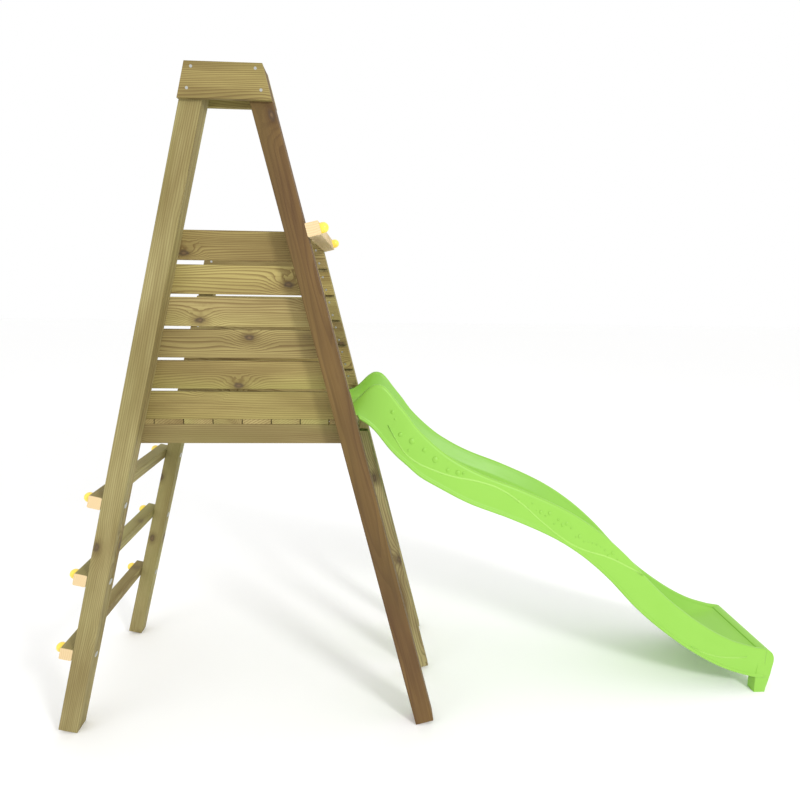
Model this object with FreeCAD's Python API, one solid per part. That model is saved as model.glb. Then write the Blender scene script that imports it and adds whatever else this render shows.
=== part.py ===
"""Timber play tower with a ladder and a wavy plastic slide, built as separate pieces.

The tower is a tall A-frame at the front and two shorter posts at the rear, joined by a deck.
X runs from the ladder towards the slide's lower end, Y from the front frame to the rear, Z is up.
Every piece is first built about the middle of the tower, then moved so that the origin lies
on the ground under the middle of the whole object.
"""
import FreeCAD, Part
import math
import os

os.makedirs("parts", exist_ok=True)

# ---- Driving sizes, in millimetres ----------------------------------------------------------

# Frame
TOWER_HEIGHT = 2310.0
FOOT_SPREAD = 1408.0        # between the posts' outer faces, carried down to the ground
TOP_WIDTH = 235.0           # between the same faces at the tower's top
TOWER_DEPTH = 700.0         # front face of the front posts to rear face of the rear posts
POST = 70.0                 # front posts are square
REAR_POST_WIDTH = 60.0
REAR_POST_DEPTH = 55.0
REAR_POST_ABOVE_WALL = 45.0
GUSSET_HEIGHT = 105.0

# Boards, shared by the deck and both walls
BOARD_WIDTH = 98.0
BOARD_THICKNESS = 18.0
WALL_BOARDS = 6
WALL_GAP = 10.0
WALL_TOP_GAP = 14.0

# Deck
DECK_TOP = 1183.0
DECK_BOARDS = 8
DECK_GAP = 3.5
BEAM_HEIGHT = 70.0
BEAM_THICKNESS = 45.0
BEAM_END_SETBACK = 4.0      # beam ends stop short of the posts' outer faces

# Ladder rungs and safety bar
RUNG = 45.0                 # square section
RUNG_COUNT = 3
RUNG_FIRST = 320.0          # where the lowest rung's bolts meet the posts' outer faces
RUNG_PITCH = 288.0
SAFETY_BAR_ABOVE_DECK = 640.0  # from the deck to the bar's bolts, at the posts' outer faces

# Leg under the slide's mouth
LEG_WIDTH = 70.0
LEG_DEPTH = 45.0
LEG_BEYOND_JOIST = 34.1     # its outer face from the joist's, at the joist's lower edge
LEG_SHOULDER_DROP = 17.0
LEG_NOTCH_CLEARANCE = 3.0

# Slide
SLIDE_WALL = 5.0            # moulded skin
SLIDE_BASE_WIDTH = 430.0
SLIDE_RIM_SPACING = 352.0   # between the tops of the two rims
SLIDE_RIM_RADIUS = 12.0
SLIDE_FLOOR_WIDTH = 250.0
SLIDE_RIB = 14.0            # height of the rounded rib along the lower edge
SLIDE_RIB_STEP = 7.0
SLIDE_HEEL_REACH = 16.0     # where the side wall starts to bend into the floor
SLIDE_HEEL_SHARE = 0.22     # and its height there, as a share of the wall's
SLIDE_FOOT_LENGTH = 47.0
SLIDE_FOOT_FRONT = 9.0      # the foot's front, beyond the trough's end
SLIDE_FOOT_WIDTH = 45.0     # each of the two feet, one under each side wall
SLIDE_FOOT_ARCH = 62.0      # height of the opening between them
SLIDE_DECK_CLEARANCE = 1.5  # gap between the deck's end and what hangs below it
RIM_STEPS = 4               # flats around a rim
SLIDE_STEPS = 3             # sections for each station

# Fasteners
SCREW_SHANK = 2.2
SCREW_HEAD = 4.6
SCREW_HEAD_HEIGHT = 2.6
BOARD_SCREW_LENGTH = 50.0
GUSSET_SCREW_LENGTH = 45.0
BEAM_SCREW_LENGTH = 90.0
LEG_SCREW_LENGTH = 130.0
PAN_HEAD = 7.0
PAN_HEAD_HEIGHT = 3.0
PAN_SCREW_LENGTH = 40.0
BOLT_RADIUS = 4.0
BOLT_CLEARANCE = 0.3
BOLT_HEAD_RADIUS = 6.5
BOLT_HEAD_HEIGHT = 5.3
NUT_FLANGE_RADIUS = 11.0
NUT_FLANGE_THICKNESS = 1.5
NUT_BARREL_RADIUS = 5.2
NUT_BARREL_LENGTH = 10.0
CAP_RADIUS = 18.0
CAP_HEIGHT = 27.5
CAP_BASE = 10.0             # straight rim under the cap's dome
CAP_BORE_CLEARANCE = 1.0

# ---- Values worked out from them ------------------------------------------------------------

LEAN = math.atan((FOOT_SPREAD - TOP_WIDTH) / 2.0 / TOWER_HEIGHT)
COS = math.cos(LEAN)
SIN = math.sin(LEAN)

FRONT = -TOWER_DEPTH / 2.0
FRONT_INSIDE = FRONT + POST
REAR = TOWER_DEPTH / 2.0
REAR_INSIDE = REAR - REAR_POST_DEPTH
DOOR_MIDDLE = (FRONT_INSIDE + REAR_INSIDE) / 2.0

SAFETY_BAR_HEIGHT = DECK_TOP + SAFETY_BAR_ABOVE_DECK
BEAM_TOP = DECK_TOP - BOARD_THICKNESS
BEAM_BOTTOM = BEAM_TOP - BEAM_HEIGHT
DECK_HALF = (DECK_BOARDS * BOARD_WIDTH + (DECK_BOARDS - 1) * DECK_GAP) / 2.0
WALL_TOP = DECK_TOP + WALL_BOARDS * BOARD_WIDTH + (WALL_BOARDS - 2) * WALL_GAP + WALL_TOP_GAP
GUSSET_BOTTOM = TOWER_HEIGHT - GUSSET_HEIGHT
BOLT_HOLE = BOLT_RADIUS + BOLT_CLEARANCE

pieces = {}


# ---- Shapes -----------------------------------------------------------------------------------

def face_x(height):
    """Distance from the tower's middle to the posts' outer faces at a height."""
    return FOOT_SPREAD / 2.0 - height * math.tan(LEAN)


def post_middle_x(height, width):
    """Distance from the tower's middle to a post's centre line at a height."""
    return face_x(height) - width / COS / 2.0


def prism(outline, y0, y1):
    """A solid with an outline of (x, z) points, from y0 to y1."""
    points = [FreeCAD.Vector(x, y0, z) for x, z in outline]
    face = Part.Face(Part.makePolygon(points + points[:1]))
    return face.extrude(FreeCAD.Vector(0, y1 - y0, 0))


def box(x0, x1, y0, y1, z0, z1):
    """A box between two corners."""
    return Part.makeBox(x1 - x0, y1 - y0, z1 - z0, FreeCAD.Vector(x0, y0, z0))


def outward(side):
    """The direction that a post's outer face looks in; side is -1 at the ladder, 1 at the slide."""
    return FreeCAD.Vector(side * COS, 0, SIN)


def on_face(side, height, y, out=0.0):
    """A point at a height on a post's outer face, moved outwards by out."""
    return FreeCAD.Vector(side * face_x(height), y, height) + outward(side) * out


def cross_bar(side, height):
    """A square bar from front to rear, lying on the outer faces of two posts."""
    along = FreeCAD.Vector(-side * SIN, 0, COS)
    half = RUNG / 2.0
    middle = on_face(side, height, 0.0, half)
    corners = []
    for out, up in ((-half, -half), (half, -half), (half, half), (-half, half)):
        corner = middle + outward(side) * out + along * up
        corners.append((corner.x, corner.z))
    return prism(corners, FRONT, REAR)


def post(side, width, top, y0, y1):
    """A leaning post whose foot is cut square, so that it stands on its inner edge."""
    rise = width * SIN
    across = width / COS
    outline = [
        (face_x(0) - across, 0.0),
        (face_x(rise), rise),
        (face_x(top), top),
        (face_x(top) - across, top),
    ]
    return prism([(side * x, z) for x, z in outline], y0, y1)


def trapezoid(z0, z1, y0, y1):
    """A board across the frame, its ends cut flush with the posts' outer faces."""
    outline = [
        (-face_x(z0), z0),
        (face_x(z0), z0),
        (face_x(z1), z1),
        (-face_x(z1), z1),
    ]
    return prism(outline, y0, y1)


def screw(head, direction, length):
    """A countersunk wood screw whose head is flush with the surface at the point head."""
    cone = Part.makeCone(SCREW_HEAD, SCREW_SHANK, SCREW_HEAD_HEIGHT, head, direction)
    shank = Part.makeCylinder(SCREW_SHANK, length - SCREW_HEAD, head, direction)
    tip_start = head + direction * (length - SCREW_HEAD)
    tip = Part.makeCone(SCREW_SHANK, 0.0, SCREW_HEAD, tip_start, direction)
    return cone.fuse([shank, tip]).removeSplitter()


def drive(name, screws, into):
    """Keep a group of screws as one node and cut their holes in the pieces they hold."""
    group = Part.makeCompound(screws)
    pieces[name] = group
    for piece in into:
        for one in screws:
            if one.BoundBox.intersect(pieces[piece].BoundBox):
                pieces[piece] = pieces[piece].cut(one)


# ---- Frame ------------------------------------------------------------------------------------

REAR_POST_TOP = WALL_TOP + REAR_POST_ABOVE_WALL
for side, word in ((-1, "left"), (1, "right")):
    pieces["front_%s_post" % word] = post(side, POST, TOWER_HEIGHT, FRONT, FRONT_INSIDE)
    pieces["rear_%s_post" % word] = post(side, REAR_POST_WIDTH, REAR_POST_TOP, REAR_INSIDE, REAR)

pieces["front_gusset"] = trapezoid(GUSSET_BOTTOM, TOWER_HEIGHT, FRONT - BOARD_THICKNESS, FRONT)
pieces["rear_gusset"] = trapezoid(
    GUSSET_BOTTOM, TOWER_HEIGHT, FRONT_INSIDE, FRONT_INSIDE + BOARD_THICKNESS)


# ---- Deck -------------------------------------------------------------------------------------

BEAM_HALF = face_x(BEAM_TOP) - BEAM_END_SETBACK
pieces["front_deck_beam"] = box(
    -BEAM_HALF, BEAM_HALF, FRONT_INSIDE, FRONT_INSIDE + BEAM_THICKNESS, BEAM_BOTTOM, BEAM_TOP)
pieces["rear_deck_beam"] = box(
    -BEAM_HALF, BEAM_HALF, REAR_INSIDE - BEAM_THICKNESS, REAR_INSIDE, BEAM_BOTTOM, BEAM_TOP)

JOIST_OUTER = min(BEAM_HALF, DECK_HALF)
for side, word in ((-1, "left"), (1, "right")):
    edges = sorted((side * JOIST_OUTER, side * (JOIST_OUTER - BEAM_THICKNESS)))
    pieces["%s_deck_joist" % word] = box(
        edges[0], edges[1],
        FRONT_INSIDE + BEAM_THICKNESS, REAR_INSIDE - BEAM_THICKNESS,
        BEAM_BOTTOM, BEAM_TOP)

deck_pitch = BOARD_WIDTH + DECK_GAP
deck_middles = []
for number in range(DECK_BOARDS):
    left = -DECK_HALF + number * deck_pitch
    deck_middles.append(left + BOARD_WIDTH / 2.0)
    pieces["deck_board_%d" % (number + 1)] = box(
        left, left + BOARD_WIDTH, FRONT_INSIDE, REAR_INSIDE, BEAM_TOP, DECK_TOP)


# ---- Walls ------------------------------------------------------------------------------------

wall_bottoms = []
for number in range(WALL_BOARDS):
    bottom = DECK_TOP + number * (BOARD_WIDTH + WALL_GAP)
    if number == WALL_BOARDS - 1:
        bottom = WALL_TOP - BOARD_WIDTH
    wall_bottoms.append(bottom)
    pieces["front_wall_board_%d" % (number + 1)] = trapezoid(
        bottom, bottom + BOARD_WIDTH, FRONT_INSIDE, FRONT_INSIDE + BOARD_THICKNESS)
    pieces["rear_wall_board_%d" % (number + 1)] = trapezoid(
        bottom, bottom + BOARD_WIDTH, REAR_INSIDE - BOARD_THICKNESS, REAR_INSIDE)


# ---- Ladder rungs and safety bar ----------------------------------------------------------------

bar_heights = {}
for number in range(RUNG_COUNT):
    bar_heights["rung_%d" % (number + 1)] = (-1, RUNG_FIRST + number * RUNG_PITCH)
bar_heights["safety_bar"] = (1, SAFETY_BAR_HEIGHT)
for name, (side, height) in bar_heights.items():
    pieces[name] = cross_bar(side, height)


# ---- Leg under the slide's mouth ----------------------------------------------------------------

def support_leg():
    """A leaning leg that butts under the deck's end joist, its outer top corner notched away."""
    proud = JOIST_OUTER + LEG_BEYOND_JOIST - face_x(BEAM_BOTTOM)
    across = LEG_WIDTH / COS
    rise = LEG_WIDTH * SIN
    shoulder = BEAM_BOTTOM - LEG_SHOULDER_DROP
    notch_x = JOIST_OUTER + LEG_NOTCH_CLEARANCE
    outline = [
        (face_x(0) + proud - across, 0.0),
        (face_x(rise) + proud, rise),
        (face_x(shoulder) + proud, shoulder),
        (notch_x, shoulder),
        (notch_x, BEAM_BOTTOM),
        (face_x(BEAM_BOTTOM) + proud - across, BEAM_BOTTOM),
    ]
    return prism(outline, DOOR_MIDDLE - LEG_DEPTH / 2.0, DOOR_MIDDLE + LEG_DEPTH / 2.0)


pieces["slide_support_leg"] = support_leg()


# ---- Slide --------------------------------------------------------------------------------------

# The lower edge of the side walls: distance beyond the deck's end, height as a share of the deck's,
# height of the wall above that edge, height of the trough's floor above it.
SLIDE_STATIONS = [
    (-60.0, 0.9873, 41.0, 20.0),
    (-27.0, 0.9873, 47.0, 20.0),
    (4.0, 0.9860, 114.0, 22.0),
    (32.0, 0.9720, 156.0, 32.0),
    (66.0, 0.9476, 133.0, 42.0),
    (116.0, 0.8935, 130.0, 45.0),
    (186.0, 0.8350, 125.0, 45.0),
    (296.0, 0.7670, 120.0, 45.0),
    (426.0, 0.7080, 119.0, 45.0),
    (596.0, 0.6520, 118.0, 45.0),
    (766.0, 0.5860, 117.0, 45.0),
    (886.0, 0.5210, 116.0, 45.0),
    (996.0, 0.4410, 116.0, 45.0),
    (1126.0, 0.3270, 116.0, 45.0),
    (1246.0, 0.2400, 114.0, 45.0),
    (1386.0, 0.1560, 114.0, 45.0),
    (1516.0, 0.0964, 114.0, 52.0),
    (1636.0, 0.0617, 113.0, 74.0),
    (1700.0, 0.0530, 112.0, 96.0),
]
SLIDE_END = DECK_HALF + SLIDE_STATIONS[-1][0]


def round_over(middle, radius, height, first, last):
    """Points on a half circle across the slide, from one angle in degrees to the other."""
    points = []
    for step in range(RIM_STEPS + 1):
        angle = math.radians(first + (last - first) * step / RIM_STEPS)
        points.append((middle + radius * math.cos(angle), height + radius * math.sin(angle)))
    return points


def slide_half_section(wall, floor):
    """Corner points (across, up) of one half of the skin.

    The skin runs up the outside of the side wall, over a round rim and down to the floor,
    then back underneath at one thickness.
    """
    rib = SLIDE_BASE_WIDTH / 2.0
    skin = rib - SLIDE_RIB_STEP
    rim = SLIDE_RIM_SPACING / 2.0
    rim_middle = wall - SLIDE_RIM_RADIUS
    floor_edge = SLIDE_FLOOR_WIDTH / 2.0
    heel_across = floor_edge + SLIDE_HEEL_REACH
    heel = floor + (rim_middle - floor) * SLIDE_HEEL_SHARE
    outside = [(rib, 0.0), (rib - 1.5, SLIDE_RIB * 0.8), (skin, SLIDE_RIB)]
    outside += round_over(rim, SLIDE_RIM_RADIUS, rim_middle, 0.0, 180.0)
    outside += [(heel_across, heel), (floor_edge, floor)]
    under = [
        (floor_edge + 1.0, floor - SLIDE_WALL),
        (heel_across + SLIDE_WALL, heel - SLIDE_WALL * 0.5),
    ]
    under += round_over(rim, SLIDE_RIM_RADIUS - SLIDE_WALL, rim_middle, 180.0, 0.0)
    under.append((skin - SLIDE_WALL, 0.0))
    return outside, under


def slide_section(place, normal, wall, floor):
    """The skin's closed outline in the plane across the slide at one place."""
    outside, under = slide_half_section(wall, floor)
    loop = list(outside)
    loop += [(-across, up) for across, up in reversed(outside)]
    loop += [(-across, up) for across, up in reversed(under)]
    loop += under
    points = []
    for across, up in loop:
        spot = place + normal * up
        points.append(FreeCAD.Vector(spot.x, DOOR_MIDDLE + across, spot.z))
    return Part.makePolygon(points + points[:1])


def slide_sections():
    """Sections through the whole moulding, with SLIDE_STEPS of them from each station on."""
    places = [FreeCAD.Vector(DECK_HALF + x, 0, share * DECK_TOP) for x, share, _, _ in SLIDE_STATIONS]
    edge = Part.BSplineCurve()
    edge.interpolate(places)
    parameters = [edge.parameter(place) for place in places]
    heights = Part.BSplineCurve()
    heights.interpolate(
        Points=[FreeCAD.Vector(wall, floor, x) for x, _, wall, floor in SLIDE_STATIONS],
        Parameters=parameters)
    along = []
    for start, stop in zip(parameters[:-1], parameters[1:]):
        along += [start + (stop - start) * step / SLIDE_STEPS for step in range(SLIDE_STEPS)]
    along.append(parameters[-1])
    sections = []
    for parameter in along:
        place = edge.value(parameter)
        tangent = edge.tangent(parameter)[0]
        if place.x < DECK_HALF:
            tangent = FreeCAD.Vector(1, 0, 0)
        normal = FreeCAD.Vector(-tangent.z, 0, tangent.x)
        wall, floor, _ = heights.value(parameter)
        sections.append(slide_section(place, normal, wall, floor))
    return sections


def slide_end_block():
    """The rolled lip at the lower end, with two feet under it that reach the ground."""
    base = SLIDE_STATIONS[-1][1] * DECK_TOP
    top = base + SLIDE_STATIONS[-1][2]
    foot_back = SLIDE_FOOT_FRONT - SLIDE_FOOT_LENGTH
    front = [
        (SLIDE_FOOT_FRONT, 0.0),
        (17.0, 46.0),
        (40.0, 112.0),
        (47.0, top - 34.0),
        (36.0, top - 10.0),
        (14.0, top - 1.0),
        (-10.0, top - 4.0),
    ]
    nose = Part.BSplineCurve()
    nose.interpolate([FreeCAD.Vector(SLIDE_END + x, 0, z) for x, z in front])
    back = [front[-1], (-16.0, top - 22.0), (foot_back, 72.0), (foot_back, 0.0), front[0]]
    edges = [nose.toShape()]
    for start, stop in zip(back[:-1], back[1:]):
        edges.append(Part.makeLine(
            FreeCAD.Vector(SLIDE_END + start[0], 0, start[1]),
            FreeCAD.Vector(SLIDE_END + stop[0], 0, stop[1])))
    half = SLIDE_BASE_WIDTH / 2.0
    block = Part.Face(Part.Wire(edges)).extrude(FreeCAD.Vector(0, 2 * half, 0))
    block.translate(FreeCAD.Vector(0, DOOR_MIDDLE - half, 0))
    rim = SLIDE_RIM_SPACING / 2.0 + SLIDE_RIM_RADIUS
    sides = [
        (-half, 0.0),
        (half, 0.0),
        (half, base),
        (rim, top - SLIDE_RIM_RADIUS),
        (rim - SLIDE_RIM_RADIUS, top + 2.0),
        (-rim + SLIDE_RIM_RADIUS, top + 2.0),
        (-rim, top - SLIDE_RIM_RADIUS),
        (-half, base),
    ]
    points = [FreeCAD.Vector(SLIDE_END - 100.0, DOOR_MIDDLE + y, z) for y, z in sides]
    outline = Part.Face(Part.makePolygon(points + points[:1]))
    arch = box(
        SLIDE_END - 100.0, SLIDE_END + 100.0,
        DOOR_MIDDLE - half + SLIDE_FOOT_WIDTH, DOOR_MIDDLE + half - SLIDE_FOOT_WIDTH,
        -1.0, SLIDE_FOOT_ARCH)
    return block.common(outline.extrude(FreeCAD.Vector(200.0, 0, 0))).cut(arch)


def slide():
    """One moulding: a wavy trough with side walls, a flat mouth on the deck and a foot."""
    trough = Part.makeLoft(slide_sections(), True, True)
    under_deck = box(
        0.0, DECK_HALF + SLIDE_DECK_CLEARANCE, FRONT, REAR, BEAM_BOTTOM, DECK_TOP)
    body = trough.fuse(slide_end_block())
    return body.cut(under_deck)


pieces["slide"] = slide()


# ---- Screws -------------------------------------------------------------------------------------

DOWN = FreeCAD.Vector(0, 0, -1)
FORWARD = FreeCAD.Vector(0, -1, 0)
BACKWARD = FreeCAD.Vector(0, 1, 0)


def mirrored_pair(x, y, z):
    """The same point on both sides of the tower."""
    return [FreeCAD.Vector(-x, y, z), FreeCAD.Vector(x, y, z)]


GUSSET_SCREW_INSET = 25.0   # from the posts' outer faces
GUSSET_SCREW_LOW = 28.0     # above the gusset's lower edge
GUSSET_SCREW_HIGH = 16.0    # below its upper edge
gusset_heads = []
for height in (GUSSET_BOTTOM + GUSSET_SCREW_LOW, TOWER_HEIGHT - GUSSET_SCREW_HIGH):
    gusset_heads.append((face_x(height) - GUSSET_SCREW_INSET, height))
for name, y, direction in (
        ("front_gusset", FRONT - BOARD_THICKNESS, BACKWARD),
        ("rear_gusset", FRONT_INSIDE + BOARD_THICKNESS, FORWARD)):
    screws = []
    for x, z in gusset_heads:
        for head in mirrored_pair(x, y, z):
            screws.append(screw(head, direction, GUSSET_SCREW_LENGTH))
    drive(name + "_screws", screws, [name, "front_left_post", "front_right_post"])

SCREW_EDGE = 22.0           # from a board's edge to its screws
for word, y, direction, width in (
        ("front", FRONT_INSIDE + BOARD_THICKNESS, FORWARD, POST),
        ("rear", REAR_INSIDE - BOARD_THICKNESS, BACKWARD, REAR_POST_WIDTH)):
    screws = []
    for bottom in wall_bottoms:
        for z in (bottom + SCREW_EDGE, bottom + BOARD_WIDTH - SCREW_EDGE):
            for head in mirrored_pair(post_middle_x(z, width), y, z):
                screws.append(screw(head, direction, BOARD_SCREW_LENGTH))
    held = ["%s_wall_board_%d" % (word, number + 1) for number in range(WALL_BOARDS)]
    drive(word + "_wall_screws", screws, held + ["%s_%s_post" % (word, s) for s in ("left", "right")])

DECK_SCREW_ROW = 27.0       # from the posts' inner faces to the deck's rows of screws
screws = []
for middle in deck_middles:
    for x in (middle - BOARD_WIDTH / 2.0 + SCREW_EDGE, middle + BOARD_WIDTH / 2.0 - SCREW_EDGE):
        for y in (FRONT_INSIDE + DECK_SCREW_ROW, REAR_INSIDE - DECK_SCREW_ROW):
            screws.append(screw(FreeCAD.Vector(x, y, DECK_TOP), DOWN, BOARD_SCREW_LENGTH))
JOIST_SCREW_REACH = 130.0   # from the doorway's middle to the outer screws of a joist
for y in (DOOR_MIDDLE - JOIST_SCREW_REACH, DOOR_MIDDLE + JOIST_SCREW_REACH):
    for head in mirrored_pair(JOIST_OUTER - BEAM_THICKNESS / 2.0, y, DECK_TOP):
        screws.append(screw(head, DOWN, BOARD_SCREW_LENGTH))
held = ["deck_board_%d" % (number + 1) for number in range(DECK_BOARDS)]
held += ["front_deck_beam", "rear_deck_beam", "left_deck_joist", "right_deck_joist"]
drive("deck_screws", screws, held)

BEAM_SCREW_LOW = 12.0       # above the beams' lower edge
BEAM_SCREW_PITCH = 16.0
screws = []
for y, direction, width in (
        (FRONT_INSIDE + BEAM_THICKNESS, FORWARD, POST),
        (REAR_INSIDE - BEAM_THICKNESS, BACKWARD, REAR_POST_WIDTH)):
    for z in (BEAM_BOTTOM + BEAM_SCREW_LOW, BEAM_BOTTOM + BEAM_SCREW_LOW + BEAM_SCREW_PITCH):
        for head in mirrored_pair(post_middle_x(z, width), y, z):
            screws.append(screw(head, direction, BEAM_SCREW_LENGTH))
held = ["front_deck_beam", "rear_deck_beam"]
held += ["%s_%s_post" % (word, s) for word in ("front", "rear") for s in ("left", "right")]
drive("beam_screws", screws, held)

LEG_SCREW_INSET = 14.0      # from the joist's outer face
LEG_SCREW_REACH = 11.0      # from the leg's middle
screws = []
for y in (DOOR_MIDDLE - LEG_SCREW_REACH, DOOR_MIDDLE + LEG_SCREW_REACH):
    head = FreeCAD.Vector(JOIST_OUTER - LEG_SCREW_INSET, y, BEAM_TOP)
    screws.append(screw(head, DOWN, LEG_SCREW_LENGTH))
drive("support_leg_screws", screws, ["right_deck_joist", "slide_support_leg"])


def pan_screw(x, y, z):
    """A screw with a low round head, standing on the surface at z."""
    top = FreeCAD.Vector(x, y, z + PAN_HEAD_HEIGHT)
    head = Part.makeCylinder(PAN_HEAD, PAN_HEAD_HEIGHT, top, DOWN)
    shank = Part.makeCylinder(SCREW_SHANK, PAN_SCREW_LENGTH + PAN_HEAD_HEIGHT, top, DOWN)
    return head.fuse(shank).removeSplitter()


SLIDE_SCREW_INSET = 38.0    # from the deck's end
SLIDE_SCREW_REACH = 75.0    # from the doorway's middle
slide_floor = SLIDE_STATIONS[0][1] * DECK_TOP + SLIDE_STATIONS[0][3]
screws = []
for y in (DOOR_MIDDLE - SLIDE_SCREW_REACH, DOOR_MIDDLE + SLIDE_SCREW_REACH):
    screws.append(pan_screw(DECK_HALF - SLIDE_SCREW_INSET, y, slide_floor))
drive("slide_screws", screws, ["slide", "deck_board_%d" % DECK_BOARDS, "right_deck_joist"])


# ---- Bolts, nuts and caps -------------------------------------------------------------------------

def bolt(side, height, y, width):
    """A hexagon bolt through a bar and a post, its head on the bar's outer face."""
    seat = on_face(side, height, y, RUNG)
    direction = outward(side) * -1.0
    shank = Part.makeCylinder(BOLT_RADIUS, RUNG + width, seat, direction)
    corners = []
    across = FreeCAD.Vector(0, 1, 0)
    up = outward(side).cross(across)
    for turn in range(7):
        angle = math.radians(60.0 * turn)
        corners.append(seat + (across * math.cos(angle) + up * math.sin(angle)) * BOLT_HEAD_RADIUS)
    head = Part.Face(Part.makePolygon(corners)).extrude(outward(side) * BOLT_HEAD_HEIGHT)
    return head.fuse(shank).removeSplitter()


def nut(side, height, y, width):
    """A flanged barrel nut let into the post's inner face."""
    seat = on_face(side, height, y, -width)
    flange = Part.makeCylinder(
        NUT_FLANGE_RADIUS, NUT_FLANGE_THICKNESS, seat, outward(side) * -1.0)
    barrel = Part.makeCylinder(NUT_BARREL_RADIUS, NUT_BARREL_LENGTH, seat, outward(side))
    bore = Part.makeCylinder(
        BOLT_RADIUS, NUT_BARREL_LENGTH + 2 * NUT_FLANGE_THICKNESS,
        seat - outward(side) * 2 * NUT_FLANGE_THICKNESS, outward(side))
    return flange.fuse(barrel).cut(bore)


def cap(side, height, y):
    """A hollow domed cap that snaps over a bolt's head."""
    room = BOLT_HEAD_RADIUS + CAP_BORE_CLEARANCE
    room_height = BOLT_HEAD_HEIGHT + CAP_BORE_CLEARANCE
    rise = CAP_HEIGHT - CAP_BASE
    ball = (CAP_RADIUS ** 2 + rise ** 2) / (2.0 * rise)
    halfway = math.asin(CAP_RADIUS / ball) / 2.0
    shoulder = (ball * math.sin(halfway), CAP_HEIGHT - ball + ball * math.cos(halfway))
    corners = [(0, room_height), (room, room_height), (room, 0), (CAP_RADIUS, 0), (CAP_RADIUS, CAP_BASE)]
    points = [FreeCAD.Vector(x, 0, z) for x, z in corners]
    top = FreeCAD.Vector(0, 0, CAP_HEIGHT)
    edges = [Part.makeLine(a, b) for a, b in zip(points[:-1], points[1:])]
    edges.append(Part.Arc(points[-1], FreeCAD.Vector(shoulder[0], 0, shoulder[1]), top).toShape())
    edges.append(Part.makeLine(top, points[0]))
    profile = Part.Face(Part.Wire(edges))
    body = profile.revolve(FreeCAD.Vector(0, 0, 0), FreeCAD.Vector(0, 0, 1), 360)
    turn = FreeCAD.Rotation(FreeCAD.Vector(0, 0, 1), outward(side))
    body.Placement = FreeCAD.Placement(on_face(side, height, y, RUNG), turn)
    return body


bolts = {"front": [], "rear": []}
nuts = []
caps = []
for name, (side, height) in bar_heights.items():
    word = "left" if side < 0 else "right"
    for end, y, width in (
            ("front", FRONT + POST / 2.0, POST),
            ("rear", REAR - REAR_POST_DEPTH / 2.0, REAR_POST_WIDTH)):
        bolts[end].append(bolt(side, height, y, width))
        nuts.append(nut(side, height, y, width))
        caps.append(cap(side, height, y))
        hole = Part.makeCylinder(
            BOLT_HOLE, 4 * POST, on_face(side, height, y, RUNG + POST), outward(side) * -1.0)
        pieces[name] = pieces[name].cut(hole)
        held_post = "%s_%s_post" % (end, word)
        socket = Part.makeCylinder(
            NUT_BARREL_RADIUS, NUT_BARREL_LENGTH, on_face(side, height, y, -width), outward(side))
        pieces[held_post] = pieces[held_post].cut(hole).cut(socket)
pieces["front_post_bolts"] = Part.makeCompound(bolts["front"])
pieces["rear_post_bolts"] = Part.makeCompound(bolts["rear"])
pieces["bolt_nuts"] = Part.makeCompound(nuts)
pieces["bolt_caps"] = Part.makeCompound(caps)


# ---- Place the origin and write the files -------------------------------------------------------

whole = FreeCAD.BoundBox()
for shape in pieces.values():
    whole.add(shape.BoundBox)
shift = FreeCAD.Vector(-whole.Center.x, -whole.Center.y, -whole.ZMin)

for name, shape in pieces.items():
    shape.translate(shift)
    shape.exportStep("parts/%s.step" % name)

print("pieces", len(pieces))
print("shift", round(shift.x, 3), round(shift.y, 3), round(shift.z, 3))
print("size", round(whole.XLength, 1), round(whole.YLength, 1), round(whole.ZLength, 1))
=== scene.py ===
# %% [markdown]
# # A timber play tower with a wavy slide
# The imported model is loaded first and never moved. What is made below is placed from its
# sizes, in metres and in the same frame, so nothing has to be fitted afterwards.

# %% load the frame
import math
import random

import bmesh
import bpy
from mathutils import Matrix, Vector


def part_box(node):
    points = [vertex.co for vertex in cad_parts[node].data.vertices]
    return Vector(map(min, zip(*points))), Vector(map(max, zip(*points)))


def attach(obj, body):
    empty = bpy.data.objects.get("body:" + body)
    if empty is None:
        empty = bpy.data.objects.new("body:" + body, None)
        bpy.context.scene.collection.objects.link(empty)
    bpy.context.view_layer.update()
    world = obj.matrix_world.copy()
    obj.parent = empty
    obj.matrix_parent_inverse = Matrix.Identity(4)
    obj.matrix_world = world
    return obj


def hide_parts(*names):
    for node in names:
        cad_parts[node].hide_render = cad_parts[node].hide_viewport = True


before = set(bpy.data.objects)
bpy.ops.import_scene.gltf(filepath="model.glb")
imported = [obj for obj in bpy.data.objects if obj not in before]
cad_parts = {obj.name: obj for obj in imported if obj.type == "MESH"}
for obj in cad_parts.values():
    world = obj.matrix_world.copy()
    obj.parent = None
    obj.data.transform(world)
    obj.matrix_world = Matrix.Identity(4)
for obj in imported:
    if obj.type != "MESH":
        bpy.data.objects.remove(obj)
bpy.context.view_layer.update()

# %% [markdown]
# ## Camera and light
# A tower this tall, seen from two paces away at a standing adult's eye height, needs a wide
# lens. The camera looks slightly down. Its three directions are written out as the columns
# of its matrix, because a matrix cannot be misread the way three turns in a row can.

# %% camera
right = Vector((0.99861, -0.05084, 0.01426))
up = Vector((-0.00479, 0.18179, 0.98333))
forward = Vector((0.05258, 0.98202, -0.18129))
eye = Vector((-0.27773, -2.29797, 1.62879))
lens = bpy.data.cameras.new("camera")
lens.sensor_width = 36.0
lens.lens = 26.14
camera = bpy.data.objects.new("camera", lens)
turned = Matrix((right, up, -forward)).transposed().to_4x4()
camera.matrix_world = Matrix.Translation(eye) @ turned
bpy.context.scene.collection.objects.link(camera)
bpy.context.scene.camera = camera
print("camera looks along", [round(v, 2) for v in forward])

# %% [markdown]
# A studio cyclorama gives nearly white light from everywhere. One soft lamp high on the
# right throws the posts' soft shadows on the boards behind them, and a weak, larger one on
# the left opens them up. An even white world alone would lose those shadows, and a hard sun
# would make them too dark.

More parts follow.
